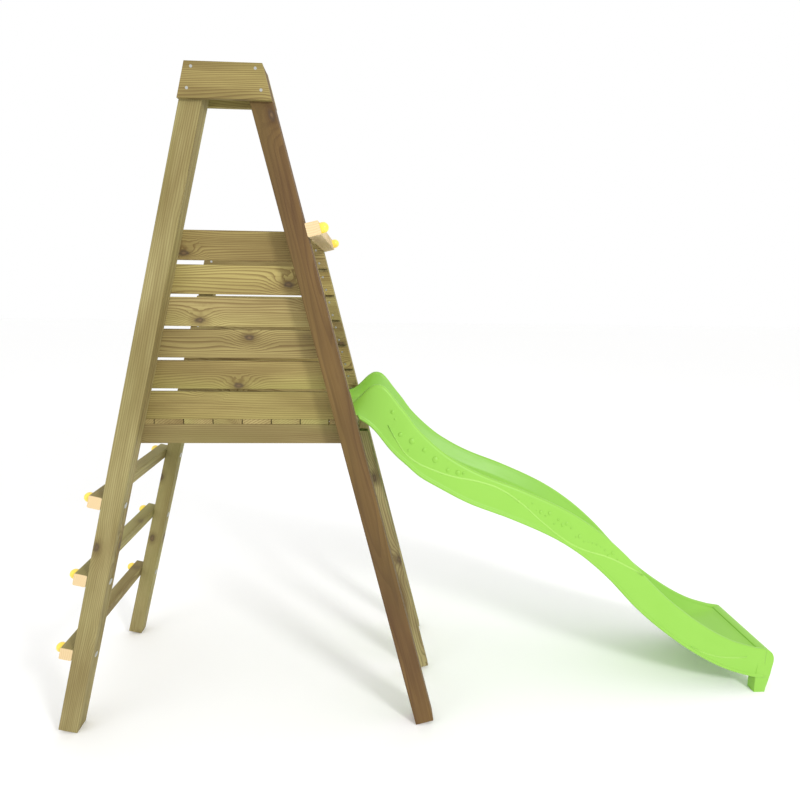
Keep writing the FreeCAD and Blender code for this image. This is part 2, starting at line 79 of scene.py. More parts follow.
# %% light and floor
FLOOR_REACH = 30.0

world = bpy.data.worlds.new("studio")
world.use_nodes = True
background = world.node_tree.nodes["Background"]
background.inputs["Color"].default_value = (1.0, 1.0, 1.0, 1.0)
background.inputs["Strength"].default_value = 1.0
bpy.context.scene.world = world
bpy.context.scene.view_settings.view_transform = "Standard"


def soft_lamp(name, place, target, size, power):
    """A square area lamp at a place, turned to face a target."""
    light = bpy.data.lights.new(name, "AREA")
    light.size = size
    light.energy = power
    lamp = bpy.data.objects.new(name, light)
    lamp.location = place
    lamp.rotation_euler = (Vector(target) - Vector(place)).to_track_quat("-Z", "Y").to_euler()
    bpy.context.scene.collection.objects.link(lamp)


soft_lamp("key_lamp", (2.6, -4.2, 3.4), (-0.5, 0.0, 1.2), 0.9, 135.0)
soft_lamp("fill_lamp", (-4.5, -3.0, 2.5), (-0.5, 0.0, 1.0), 3.0, 20.0)

bed = bmesh.new()
bmesh.ops.create_grid(bed, x_segments=1, y_segments=1, size=FLOOR_REACH)
floor_mesh = bpy.data.meshes.new("floor")
bed.to_mesh(floor_mesh)
bed.free()
floor = bpy.data.objects.new("floor", floor_mesh)
bpy.context.scene.collection.objects.link(floor)
print("lamps and floor in place")

# %% [markdown]
# ## A way to write finishes
# Each finish is a small network of nodes. Wrapping a socket in a class with the usual
# operators lets the maths be read as a formula, and one method adds any other node. The
# short methods after it are only names for the few nodes that are used again and again.

# %% shader helpers
class Wire:
    """An output socket that can be added, subtracted and multiplied."""

    def __init__(self, socket):
        self.socket = socket

    def maths(self, operation, first, second):
        tree = self.socket.id_data
        made = tree.nodes.new("ShaderNodeMath")
        made.operation = operation
        for slot, value in zip(made.inputs, (first, second)):
            if isinstance(value, Wire):
                tree.links.new(value.socket, slot)
            else:
                slot.default_value = value
        return Wire(made.outputs[0])

    def __add__(self, other):
        return self.maths("ADD", self, other)

    def __radd__(self, other):
        return self.maths("ADD", other, self)

    def __sub__(self, other):
        return self.maths("SUBTRACT", self, other)

    def __rsub__(self, other):
        return self.maths("SUBTRACT", other, self)

    def __mul__(self, other):
        return self.maths("MULTIPLY", self, other)

    def __rmul__(self, other):
        return self.maths("MULTIPLY", other, self)


class Finish:
    """A material being mixed: its tree, its shader and one method that adds any node."""

    def __init__(self, name, **fixed):
        self.material = bpy.data.materials.new(name)
        self.material.use_nodes = True
        self.tree = self.material.node_tree
        self.shader = self.tree.nodes["Principled BSDF"]
        for key, value in fixed.items():
            self.shader.inputs[key.replace("_", " ")].default_value = value

    def node(self, kind, settings=None, inputs=None, output=0):
        """A new node's output, with the node's settings made first and then its inputs."""
        made = self.tree.nodes.new(kind)
        for key, value in (settings or {}).items():
            if key == "points":
                curve = made.mapping.curves[0]
                while len(curve.points) < len(value):
                    curve.points.new(0.5, 0.5)
                for point, location in zip(curve.points, value):
                    point.location = location
                made.mapping.update()
            else:
                setattr(made, key, value)
        for key, value in (inputs or {}).items():
            if isinstance(value, Wire):
                self.tree.links.new(value.socket, made.inputs[key])
            else:
                made.inputs[key].default_value = value
        return Wire(made.outputs[output])

    def feed(self, name, value):
        """Join a value to the shader."""
        self.tree.links.new(value.socket, self.shader.inputs[name])

    def mix(self, mask, first, second):
        """Two colours mixed by a mask."""
        return self.node(
            "ShaderNodeMix", {"data_type": "RGBA"}, {0: mask, 6: first, 7: second}, 2)

    def between(self, value, low, high):
        """0 below low, 1 above high, and smooth from one to the other."""
        return self.node(
            "ShaderNodeMapRange", {"interpolation_type": "SMOOTHSTEP"},
            {0: value, 1: low, 2: high})

    def noise(self, place, scale, detail):
        """Soft random values around 0.5."""
        return self.node(
            "ShaderNodeTexNoise", None, {"Vector": place, "Scale": scale, "Detail": detail})

    def split(self, place):
        """The three numbers of a place."""
        return [self.node("ShaderNodeSeparateXYZ", None, {0: place}, k) for k in range(3)]

    def joined(self, x, y, z):
        """A place made from three numbers."""
        return self.node("ShaderNodeCombineXYZ", None, {0: x, 1: y, 2: z})

    def unsigned(self, value):
        """A number without its sign."""
        return self.node("ShaderNodeMath", {"operation": "ABSOLUTE"}, {0: value})


def paint(red, green, blue):
    """A colour from its usual 0 to 255 values, as the linear colour that shaders use."""
    linear = []
    for value in (red, green, blue):
        share = value / 255.0
        linear.append(share / 12.92 if share <= 0.04045 else ((share + 0.055) / 1.055) ** 2.4)
    return (*linear, 1.0)


def toned(colour, red, green, blue):
    """A linear colour with each of its three channels scaled."""
    return (colour[0] * red, colour[1] * green, colour[2] * blue, 1.0)


print("shader helpers ready")

# %% [markdown]
# The floor is plain and pale, with only a faint mottling so that it is not a flat colour.

# %% floor finish
pale = Finish("pale_floor", Roughness=0.9)
spots = pale.node("ShaderNodeTexNoise", None, {"Scale": 3.0, "Detail": 3.0})
pale.feed("Base Color", pale.mix(spots, paint(255, 255, 255), paint(253, 253, 252)))
floor.data.materials.append(pale.material)
print("floor finish made")

# %% [markdown]
# ## Pressure treated pine
# Sawn pine shows three things: growth rings cut through as long lines and pointed arches,
# knots that the rings flow round, and a green or brown tint that the treatment leaves
# unevenly. The rings are distances from a centre line that wanders along the stick, and the
# knots are scattered points that push that distance outwards, so that the arches close
# round them the way real grain does. Each stick gets its own shift through the pattern.

# %% pine finish
RINGS_A_METRE = (125.0, 165.0)  # fewest and most growth rings in a metre of wood
KNOTS_ALONG = 3.2               # places for a knot in a metre along the grain
KNOTS_ACROSS = 5.6              # and in a metre across it
KNOT_PUSH = 0.03                # metres that a knot pushes the rings out
FIBRES_A_METRE = 260.0
OFF_CENTRE = 0.02               # how far a stick's centre line may lie from its middle
KNOT_BARK = paint(66, 48, 30)
KNOT_HEART = paint(118, 92, 58)


def pine(
        name, seed, light, dark, turn=(0.0, 0.0, 0.0), spread=0.16, knots=1.0, streaks=0.5,
        ends=None):
    """Pine whose grain runs along the X axis of the turned coordinates."""
    draw = random.Random(seed)
    wood = Finish(name)
    place = wood.node("ShaderNodeTexCoord", None, None, 3)
    shift = (draw.uniform(-9.0, 9.0), 0.0, 0.0)
    along = wood.node(
        "ShaderNodeMapping", {"vector_type": "POINT"},
        {"Vector": place, "Rotation": turn, "Location": shift})
    x, y, z = wood.split(along)

    # Knots: scattered cells, of which a lottery keeps about half.
    cell_at = wood.joined(x * KNOTS_ALONG, (y + z) * KNOTS_ACROSS, 0.0)
    cell = {"Vector": cell_at, "Scale": 1.0, "Randomness": 1.0}
    reach = wood.node(
        "ShaderNodeTexVoronoi", {"voronoi_dimensions": "2D", "feature": "F1"}, cell)
    cell_colour = wood.node("ShaderNodeTexVoronoi", {"voronoi_dimensions": "2D"}, cell, 1)
    lottery = wood.node("ShaderNodeSeparateColor", None, {0: cell_colour})
    kept = wood.between(lottery, 0.40, 0.55) * knots
    reach = reach + (wood.noise(along, 55.0, 3.0) - 0.5) * 0.06
    swell = (1.0 - wood.between(reach, 0.0, 0.45)) * kept
    knot = (1.0 - wood.between(reach, 0.03, 0.075)) * kept
    collar = (1.0 - wood.between(reach, 0.06, 0.16)) * kept
    heart = (1.0 - wood.between(reach, 0.0, 0.035)) * kept

    # Rings: distances from a wandering centre line, with the dark late wood in each.
    wander = wood.noise(wood.joined(x * 0.55, y * 5.0, z * 5.0), 1.6, 2.0) - 0.5
    off_y = y + (wander * spread + draw.uniform(-OFF_CENTRE, OFF_CENTRE))
    off_z = z + (wander * spread * 0.6 + draw.uniform(-OFF_CENTRE, OFF_CENTRE))
    depth = wood.node(
        "ShaderNodeVectorMath", {"operation": "LENGTH"}, {0: wood.joined(0.0, off_y, off_z)}, 1)
    depth = depth + swell * swell * KNOT_PUSH
    wave = wood.node(
        "ShaderNodeMath", {"operation": "FRACT"}, {0: depth * draw.uniform(*RINGS_A_METRE)})
    late = wood.between(wave, 0.35, 0.92) * (1.0 - wood.between(wave, 0.93, 1.0))

    # Fibres and the clouds that the treatment leaves.
    fibre = wood.noise(
        wood.joined(x * 4.0, y * FIBRES_A_METRE, z * FIBRES_A_METRE), 1.0, 3.0)
    cloud_at = wood.joined(x * 1.3, y * 7.0, z * 7.0)
    cloud = wood.noise(cloud_at, 1.3, 4.0)
    tint = wood.noise(cloud_at, 0.45, 2.0)

    brown = toned(dark, 0.62, 0.50, 0.42)
    base = wood.mix(wood.between(cloud, 0.30, 0.72), light, dark)
    base = wood.mix(late * (0.85 * streaks), base, brown)
    base = wood.mix(wood.between(fibre, 0.42, 0.75) * 0.28, base, brown)
    base = wood.mix(wood.between(tint, 0.45, 0.68) * 0.55, base, toned(light, 0.72, 0.86, 0.60))
    base = wood.mix(collar * 0.50, base, toned(dark, 0.60, 0.50, 0.42))
    base = wood.mix(knot * 0.80, base, KNOT_BARK)
    base = wood.mix(heart * 0.7, base, KNOT_HEART)
    if ends:
        facing = wood.node("ShaderNodeNewGeometry", None, None, 1)
        turned_facing = wood.node(
            "ShaderNodeMapping", {"vector_type": "NORMAL"}, {"Vector": facing, "Rotation": turn})
        endwise = wood.unsigned(wood.node("ShaderNodeSeparateXYZ", None, {0: turned_facing}))
        sawn = wood.mix(late * 0.35, ends, toned(ends, 0.7, 0.6, 0.5))
        base = wood.mix(wood.between(endwise, 0.75, 0.95), base, sawn)
    wood.feed("Base Color", base)
    wood.feed("Roughness", 0.70 + fibre * 0.18 - knot * 0.15)
    height = late * 0.35 + fibre * 0.5 - knot * 0.4
    wood.feed("Normal", wood.node(
        "ShaderNodeBump", None, {"Height": height, "Strength": 0.35, "Distance": 0.0012}))
    return wood.material


print("pine recipe ready")

# %% [markdown]
# ## Sticks with eased edges
# Planed timber never has a razor edge: the planer takes 2 or 3 mm off each long arris, and
# that edge catches the light. A copy of each stick from the frame is cleaned up and its long
# edges are bevelled. Bevelling the screw holes too would only add faces that nobody sees, so
# short edges are left alone.

# %% eased sticks
SHORTEST_EASED = 0.05    # edges shorter than this stay sharp
SHARPEST_FLAT = 30.0     # degrees under which two faces already count as one
STICK_MERGE = 0.00002
POST_ARRIS = 0.003
BOARD_ARRIS = 0.002
DECK_ARRIS = 0.0015


def new_piece(work, name):
    """An object from a mesh in the works. Nothing moves here, so it rides on the one body."""
    made = bpy.data.meshes.new(name)
    work.to_mesh(made)
    work.free()
    piece = bpy.data.objects.new(name, made)
    bpy.context.scene.collection.objects.link(piece)
    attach(piece, "root")
    return piece


def dress(piece, finish):
    """Give a piece one finish all over."""
    piece.data.materials.clear()
    piece.data.materials.append(finish)


def eased(node, radius):
    """A copy of a node with its long edges rounded, standing for the node."""
    work = bmesh.new()
    work.from_mesh(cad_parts[node].data)
    bmesh.ops.remove_doubles(work, verts=work.verts, dist=STICK_MERGE)
    bmesh.ops.dissolve_limit(
        work, angle_limit=math.radians(1.0), verts=work.verts, edges=work.edges)
    long_edges = []
    for edge in work.edges:
        if len(edge.link_faces) == 2 and edge.calc_length() > SHORTEST_EASED:
            if edge.calc_face_angle() > math.radians(SHARPEST_FLAT):
                long_edges.append(edge)
    bmesh.ops.bevel(
        work, geom=long_edges, offset=radius, offset_type="OFFSET", affect="EDGES",
        segments=2, profile=0.5, material=-1, clamp_overlap=True)
    bmesh.ops.triangulate(work, faces=[face for face in work.faces if len(face.verts) > 4])
    piece = new_piece(work, "eased_" + node)
    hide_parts(node)
    return piece


print("stick recipe ready")

# %% [markdown]
# The posts and the leg under the slide lean in towards the top, so their grain is turned by
# the same angle. The treatment came out olive on most of them and brown on one.

# %% leaning sticks
LEAN = math.radians(14.25)
OLIVE = paint(168, 157, 106)
OLIVE_DARK = paint(124, 108, 60)
BROWN = paint(116, 88, 44)
BROWN_DARK = paint(90, 64, 31)

upright = {
    "front_left_post": (11, OLIVE, OLIVE_DARK, -1), "front_right_post": (12, BROWN, BROWN_DARK, 1),
    "rear_left_post": (13, OLIVE, OLIVE_DARK, -1), "rear_right_post": (14, OLIVE, OLIVE_DARK, 1),
    "slide_support_leg": (15, OLIVE, BROWN_DARK, 1),
}
for node, (seed, light, dark, side) in upright.items():
    piece = eased(node, POST_ARRIS)
    turn = (0.0, math.pi / 2.0 + side * LEAN, 0.0)
    dress(piece, pine(
        node + "_pine", seed, light, dark, turn, spread=0.10, knots=0.9, streaks=0.55))
print(len(upright), "leaning sticks eased")

# %% [markdown]
# The wall boards, gussets and beams lie along the tower. They come from different planks, so
# each has its own tone as well as its own grain.

# %% wall boards, gussets and beams
STRAW = paint(170, 154, 98)
STRAW_DARK = paint(128, 110, 64)

lying = []
for wall in ("front", "rear"):
    for number in range(1, 7):
        lying.append(("%s_wall_board_%d" % (wall, number), BOARD_ARRIS))
    lying.append((wall + "_gusset", BOARD_ARRIS))
    lying.append((wall + "_deck_beam", POST_ARRIS))
tones = random.Random(4)
for count, (node, radius) in enumerate(lying):
    piece = eased(node, radius)
    lift = tones.uniform(0.88, 1.14)
    warm = tones.uniform(0.85, 1.08)
    light = toned(STRAW, lift, lift, lift * warm)
    dark = toned(STRAW_DARK, lift, lift, lift * warm)
    dress(piece, pine(node + "_pine", 40 + count, light, dark, spread=0.24, streaks=0.9))
print(len(lying), "boards, gussets and beams eased")

# %% [markdown]
# The deck's boards and end joists run from front to back, so their grain is turned a quarter.

# %% deck boards and joists
ACROSS = (0.0, 0.0, math.pi / 2.0)

crossing = [("deck_board_%d" % number, DECK_ARRIS) for number in range(1, 9)]
crossing += [("left_deck_joist", POST_ARRIS), ("right_deck_joist", POST_ARRIS)]
for count, (node, radius) in enumerate(crossing):
    piece = eased(node, radius)
    dress(piece, pine(node + "_pine", 80 + count, STRAW, STRAW_DARK, ACROSS, streaks=0.8))
print(len(crossing), "deck boards and joists eased")

# %% [markdown]
# The rungs and the safety bar also run from front to back. Their sawn ends are in sight and
# paler than their sides, because the treatment hardly enters end grain that was cut later.

# %% rungs and safety bar
PALE = paint(226, 204, 166)
PALE_DARK = paint(196, 172, 122)
SAWN_END = paint(222, 196, 150)

bars = ("rung_1", "rung_2", "rung_3", "safety_bar")
for count, node in enumerate(bars):
    piece = eased(node, POST_ARRIS)
    light, dark = (PALE, PALE_DARK) if node == "safety_bar" else (OLIVE, OLIVE_DARK)
    dress(piece, pine(
        node + "_pine", 120 + count, light, dark, ACROSS, spread=0.08, knots=0.4, streaks=0.6,
        ends=SAWN_END))
print(len(bars), "rungs and bars eased")

# %% [markdown]
# ## Zinc plated fasteners and plastic caps
# The screws, nuts and bolts keep the frame's own solids, because their shapes are already
# right. Zinc is a dull bluish silver with a fine crystalline mottle. The caps over the bolts
# are glossy moulded yellow plastic with a faint cloudiness.

# %% metal and cap finishes
zinc = Finish("zinc_plate", Metallic=1.0)
mottle = zinc.node("ShaderNodeTexNoise", None, {"Scale": 900.0, "Detail": 3.0})
zinc.feed("Base Color", zinc.mix(mottle, paint(170, 172, 170), paint(205, 205, 198)))
zinc.feed("Roughness", 0.30 + mottle * 0.2)

caps_yellow = Finish("cap_yellow", Coat_Weight=0.4, IOR=1.49)
cloudy = caps_yellow.node("ShaderNodeTexNoise", None, {"Scale": 60.0, "Detail": 2.0})
caps_yellow.feed(
    "Base Color", caps_yellow.mix(cloudy, paint(250, 214, 60), paint(255, 228, 96)))
caps_yellow.feed("Roughness", 0.28 + cloudy * 0.12)

for name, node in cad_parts.items():
    if name.endswith("screws") or name.endswith("bolts") or name == "bolt_nuts":
        for index in range(len(node.data.materials)):
            node.data.materials[index] = zinc.material
print("fasteners finished")

# %% [markdown]
# The cap shapes are rounded domes. Their faceted copies are merged and shaded smooth, with
# only the sharp foot of each cap left as an edge.

# %% smooth caps
CAP_MERGE = 0.00001
CAP_SHARP = 35.0


def shade_smooth(work, sharp):
    """Smooth shading, with the edges sharper than an angle in degrees left as edges."""
    for face in work.faces:
        face.smooth = True
    for edge in work.edges:
        if len(edge.link_faces) == 2 and edge.calc_face_angle() > math.radians(sharp):
            edge.smooth = False


caps = bmesh.new()
caps.from_mesh(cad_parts["bolt_caps"].data)
bmesh.ops.remove_doubles(caps, verts=caps.verts, dist=CAP_MERGE)
shade_smooth(caps, CAP_SHARP)
domes = new_piece(caps, "domed_caps")
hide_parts("bolt_caps")
dress(domes, caps_yellow.material)
print("caps", len(domes.data.polygons), "faces")

# %% [markdown]
# ## The slide
# The real slide is blow moulded in one piece: a wavy trough, rolled rims, a rounded rib along
# the lower edge of each side wall, and feet under the rolled lip at the end. It is made the
# way a loft is: one section outline, extruded from station to station, with each new ring
# moved into place. Over the hump the rims lean their own way, so each station there gives the
# lower edge of the side walls (distance beyond the deck's end, height), the top of their rims
# (the same two) and how far the floor lies above the lower edge. On the plain run below, a
# rim stands square to the lower edge, so a wall height is enough and the rim is worked out.

# %% slide stations
deck_low, deck_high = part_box("deck_board_8")
deck_end = deck_high.x
deck_top = deck_high.z
middle = (deck_low.y + deck_high.y) / 2.0
print("deck ends at", round(deck_end, 4), "its top is", round(deck_top, 4))

# Distance and height of the lower edge, distance and height of the rim, height of the floor.
hump = [
    (-0.060, 1.1680, -0.060, 1.209, 0.0202),
    (-0.027, 1.1680, -0.020, 1.224, 0.0202),
    (0.003, 1.1660, 0.009, 1.249, 0.021),
    (0.030, 1.1520, 0.036, 1.276, 0.026),
    (0.050, 1.1360, 0.062, 1.292, 0.032),
    (0.072, 1.1130, 0.090, 1.290, 0.037),
    (0.093, 1.0860, 0.114, 1.271, 0.041),
    (0.118, 1.0540, 0.149, 1.226, 0.044),
    (0.150, 1.0200, 0.186, 1.180, 0.045),
    (0.186, 0.9878, 0.224, 1.129, 0.045),
    (0.234, 0.9450, 0.285, 1.068, 0.045),
    (0.296, 0.9074, 0.357, 1.011, 0.045),
]
# Distance and height of the lower edge, height of the wall and of the floor, and how much
# the rim is raised at the exit.
run = [
    (0.426, 0.8376, 0.119, 0.045, 0.0),
    (0.596, 0.7713, 0.118, 0.045, 0.0),
    (0.766, 0.6932, 0.117, 0.045, 0.0),
    (0.886, 0.6163, 0.116, 0.045, 0.0),
    (0.996, 0.5217, 0.116, 0.045, 0.0),
    (1.126, 0.3868, 0.116, 0.045, 0.0),
    (1.246, 0.2839, 0.114, 0.045, 0.0),
    (1.386, 0.1845, 0.114, 0.045, 0.0),
    (1.516, 0.1140, 0.114, 0.056, 0.0),
    (1.636, 0.0730, 0.113, 0.091, 0.0020),
    (1.700, 0.0627, 0.112, 0.1115, 0.0012),
]


def squared(index):
    """A station of the run, with its rim square to the line through its two neighbours."""
    x, z, wall, floor_height, rise = run[index]
    before = run[index - 1] if index else hump[-1]
    after = run[min(index + 1, len(run) - 1)]
    slope = math.atan2(after[1] - before[1], after[0] - before[0])
    return (x, z, x - wall * math.sin(slope), z + wall * math.cos(slope) + rise, floor_height)


stations = hump + [squared(index) for index in range(len(run))]
end_base, end_rim = stations[-1][1], stations[-1][3]


def smooth_between(values, places, at):
    """The value at a place on a smooth curve through the given values."""
    last = len(places) - 2
    k = 0
    while k < last and places[k + 1] < at:
        k += 1
    slopes = []
    for j in (k, k + 1):
        before = max(j - 1, 0)
        after = min(j + 1, len(places) - 1)
        slopes.append((values[after] - values[before]) / (places[after] - places[before]))
    span = places[k + 1] - places[k]
    u = (at - places[k]) / span
    return (
        values[k] * (2 * u ** 3 - 3 * u ** 2 + 1) + values[k + 1] * (3 * u ** 2 - 2 * u ** 3)
        + slopes[0] * span * (u ** 3 - 2 * u ** 2 + u) + slopes[1] * span * (u ** 3 - u ** 2))


travel = [0.0]
for before, after in zip(stations[:-1], stations[1:]):
    travel.append(travel[-1] + math.hypot(after[0] - before[0], after[1] - before[1]))
print("slide is", round(travel[-1], 2), "m along its lower edge")

# %% [markdown]
# Half of the section outline runs up the outside wall, over the rim and down to the floor's
# middle. Many points lie on the outside wall, so that it bends evenly over the hump and gives
# the moulded waves and bubbles a close surface to be laid on.

# %% section outline
HALF_BASE = 0.215
HALF_RIM = 0.176
RIM_RADIUS = 0.012
HALF_FLOOR = 0.125
HEEL_REACH = 0.016       # from the floor's edge out to where the wall starts to bend into it
HEEL_SHARE = 0.22        # and its height there, as a share of the wall's
BEND_REACH = 0.020       # from the floor's edge in to where the bend ends
RIM_STEPS = 8
WALL_ROWS = 26
INNER_STEPS = 6
BEND_STEPS = 4
# How far in from the widest line, and how high, for the rounded rib and the wall's foot.
RIB = [(0.0055, 0.0), (0.0012, 0.0018), (0.0, 0.0060), (0.0012, 0.0105), (0.0055, 0.0135)]
WALL_FOOT = (HALF_BASE - 0.0072, 0.0158)
DECK_GAP = 0.0002


def part_way(start, stop, share):
    """The point a share of the way from one point to another."""
    return (start[0] + (stop[0] - start[0]) * share, start[1] + (stop[1] - start[1]) * share)


def half_section(wall, floor_height):
    """Points (across, up) from the lower edge outside to the floor's middle."""
    rim_middle = wall - RIM_RADIUS
    points = [(HALF_BASE - inset, height) for inset, height in RIB]
    wall_top = (HALF_RIM + RIM_RADIUS, rim_middle)
    points += [part_way(WALL_FOOT, wall_top, row / WALL_ROWS) for row in range(WALL_ROWS)]
    # At the exit the floor rises past the rim's middle, so the rim's inner side stops there.
    brim = max(rim_middle, floor_height)
    for step in range(RIM_STEPS + 1):
        angle = math.pi * step / RIM_STEPS
        height = rim_middle + RIM_RADIUS * math.sin(angle)
        if step > RIM_STEPS // 2:
            height = max(height, brim)
        points.append((HALF_RIM + RIM_RADIUS * math.cos(angle), height))
    inner = (HALF_RIM - RIM_RADIUS, brim)
    bend = (HALF_FLOOR + HEEL_REACH, floor_height + (brim - floor_height) * HEEL_SHARE)
    points += [part_way(inner, bend, step / INNER_STEPS) for step in range(1, INNER_STEPS + 1)]
    corner = (HALF_FLOOR, floor_height)
    low = (HALF_FLOOR - BEND_REACH, floor_height)
    for step in range(1, BEND_STEPS + 1):
        share = step / BEND_STEPS
        points.append(part_way(part_way(bend, corner, share), part_way(corner, low, share), share))
    points += [part_way(low, (0.0, floor_height), step / BEND_STEPS)
               for step in range(1, BEND_STEPS + 1)]
    return points


def placed_ring(distance):
    """The whole section, edge to edge, placed at a distance along the slide."""
    x, z, rim_x, rim_z, floor_height = (
        smooth_between([station[k] for station in stations], travel, distance) for k in range(5))
    wall = math.hypot(rim_x - x, rim_z - z)
    lean_x = (rim_x - x) / wall
    lean_z = (rim_z - z) / wall
    half = half_section(wall, floor_height)
    whole = half + [(-across, height) for across, height in reversed(half[:-1])]
    ring = []
    for across, height in whole:
        point = Vector((deck_end + x + lean_x * height, middle - across, z + lean_z * height))
        if x < 0.0:
            point.z = max(point.z, deck_top + DECK_GAP)
        ring.append(point)
    return ring


print("section has", len(placed_ring(travel[-1] / 2.0)), "points")

# %% [markdown]
# The first ring is a chain of edges. Extruding the chain adds the next row of faces, and the
# new vertices are then put on the next ring, which keeps the whole trough one clean grid.

# %% loft the trough
ROW_SPACING = 0.0085


def extruded(work, edges):
    """Extrude edges; gives the new vertices, and the new edges that run between those."""
    grown = bmesh.ops.extrude_edge_only(work, edges=edges)
    fresh = {item for item in grown["geom"] if isinstance(item, bmesh.types.BMVert)}
    ahead = [item for item in grown["geom"] if isinstance(item, bmesh.types.BMEdge)
             and item.verts[0] in fresh and item.verts[1] in fresh]
    return fresh, ahead


def moved_on(old_ring, fresh, places):
    """The new vertices in the order of the old ring that they grew from, put in place."""
    ring = []
    for vert, place in zip(old_ring, places):
        new_vert = next(
            edge.other_vert(vert) for edge in vert.link_edges if edge.other_vert(vert) in fresh)
        new_vert.co = place
        ring.append(new_vert)
    return ring


skin = bmesh.new()
rows = [[skin.verts.new(point) for point in placed_ring(0.0)]]
edges = [skin.edges.new(pair) for pair in zip(rows[0][:-1], rows[0][1:])]
row_count = int(travel[-1] / ROW_SPACING)
for step in range(1, row_count + 1):
    fresh, edges = extruded(skin, edges)
    rows.append(moved_on(rows[-1], fresh, placed_ring(travel[-1] * step / row_count)))
bmesh.ops.recalc_face_normals(skin, faces=skin.faces)
skin.normal_update()
floor_face = rows[row_count // 2][len(rows[0]) // 2].link_faces[0]
if floor_face.normal.z < 0.0:
    bmesh.ops.reverse_faces(skin, faces=skin.faces)
print("trough has", len(skin.faces), "faces,", len(rows), "rows")

# %% [markdown]
# The outer walls carry moulded bubbles: shallow domes, large and few near the top and small
# and many further down. Each one is a flattened ball sunk in the wall, at the wall point
# nearest to its distance and height. Those are measured from the tower's middle, and the
# scattered ones come from a seeded draw, so they fall in the same places every time.

# %% bubbles on the outer walls
BUBBLE_FLATNESS = 0.34
SCATTERED = 24
SCATTER_START = (1.030, 0.852)
SCATTER_SPAN = (0.410, -0.250)
SCATTER_SIZES = (0.0035, 0.0045, 0.006, 0.008)

wall_points = []
for ring in rows:
    for vert in ring[len(RIB):len(RIB) + WALL_ROWS]:
        wall_points.append((vert.co.copy(), vert.normal.copy()))


def on_wall(x, z, side):
    """The place on one outer wall at a distance and height, and the way that the wall faces."""
    spot, facing = min(
        wall_points, key=lambda item: (item[0].x - x) ** 2 + (item[0].z - z) ** 2)
    place = Vector((x, spot.y if side > 0 else 2.0 * middle - spot.y, z))
    return place, Vector((facing.x, facing.y * side, facing.z))


tower_middle = (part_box("deck_board_1")[0].x + deck_end) / 2.0
large = [(0.535, 1.191, 0.008), (0.544, 1.164, 0.005), (0.565, 1.106, 0.009),
         (0.609, 1.080, 0.012), (0.596, 1.045, 0.005), (0.657, 1.045, 0.009),
         (0.700, 1.007, 0.013), (0.749, 0.966, 0.009), (0.789, 0.955, 0.011),
         (0.810, 0.952, 0.007)]
bubbles = [(tower_middle + x, z, size) for x, z, size in large]
draw = random.Random(8)
for number in range(SCATTERED):
    share = number / (SCATTERED - 1.0)
    x = SCATTER_START[0] + SCATTER_SPAN[0] * share
    z = SCATTER_START[1] + SCATTER_SPAN[1] * share + draw.uniform(-0.020, 0.018)
    bubbles.append((tower_middle + x, z, draw.choice(SCATTER_SIZES)))
for x, z, size in bubbles:
    for side in (1.0, -1.0):
        ball = bmesh.ops.create_uvsphere(skin, u_segments=14, v_segments=8, radius=size)
        place, out = on_wall(x, z, side)
        turn = out.to_track_quat("Z", "Y").to_matrix().to_4x4()
        flat = Matrix.Diagonal((1.0, 1.0, BUBBLE_FLATNESS, 1.0))
        bmesh.ops.transform(
            skin, matrix=Matrix.Translation(place) @ turn @ flat, verts=ball["verts"])
print(len(bubbles) * 2, "bubbles")

# %% [markdown]
# The moulded waves are raised beads on the outer walls. Each is a flattened round swept along
# a line: a ring of six corners is extruded from point to point and each new ring is laid on
# the nearest part of the wall, so the bead follows the wall's own lean. A bead fades out over
# its first and last few rings.

# %% raised waves on the outer walls
BEAD_HALF_WIDTH = 0.0032
BEAD_HEIGHT = 0.0020
BEAD_CORNERS = 6
BEAD_SPACING = 0.012
BEAD_FADE = 4.0          # rings over which a bead fades at each end

# Distance from the tower's middle, and height.
wave_line = [(0.516, 1.145), (0.545, 1.093), (0.582, 1.037), (0.628, 0.999), (0.698, 0.966),
             (0.759, 0.944), (0.876, 0.917), (0.949, 0.891), (1.030, 0.839), (1.122, 0.759),
             (1.199, 0.697), (1.276, 0.650), (1.407, 0.602), (1.485, 0.562), (1.557, 0.522)]
exit_line = [(1.774, 0.214), (1.865, 0.171), (1.962, 0.152), (2.033, 0.152)]


def along_line(line, spacing):
    """Evenly spread points on a smooth curve through a line."""
    xs = [tower_middle + x for x, z in line]
    zs = [z for x, z in line]
    steps = int((xs[-1] - xs[0]) / spacing)
    places = [xs[0] + (xs[-1] - xs[0]) * step / steps for step in range(steps + 1)]
    return [(x, smooth_between(zs, xs, x)) for x in places]


def bead(line, side):
    """A raised bead along a line on one outer wall; gives its number of faces."""
    path = along_line(line, BEAD_SPACING)
    rings = []
    for index, (x, z) in enumerate(path):
        place, out = on_wall(x, z, side)
        after = path[min(index + 1, len(path) - 1)]
        before = path[max(index - 1, 0)]
        way = Vector((after[0] - before[0], 0.0, after[1] - before[1])).normalized()
        wide = way.cross(out).normalized() * BEAD_HALF_WIDTH
        from_end = min(index, len(path) - 1 - index) + 0.5
        high = out * BEAD_HEIGHT * min(1.0, from_end / BEAD_FADE)
        angles = [2.0 * math.pi * corner / BEAD_CORNERS for corner in range(BEAD_CORNERS)]
        corners = [place + wide * math.cos(angle) + high * math.sin(angle) for angle in angles]
        if not rings:
            ring = [skin.verts.new(corner) for corner in corners]
            start = [skin.edges.new(pair) for pair in zip(ring, ring[1:] + ring[:1])]
            edges = start
        else:
            fresh, edges = extruded(skin, edges)
            ring = moved_on(rings[-1], fresh, corners)
        rings.append(ring)
    bmesh.ops.holes_fill(skin, edges=start + edges, sides=BEAD_CORNERS)
    faces = {face for ring in rings for vert in ring for face in vert.link_faces}
    bmesh.ops.recalc_face_normals(skin, faces=list(faces))
    return len(faces)


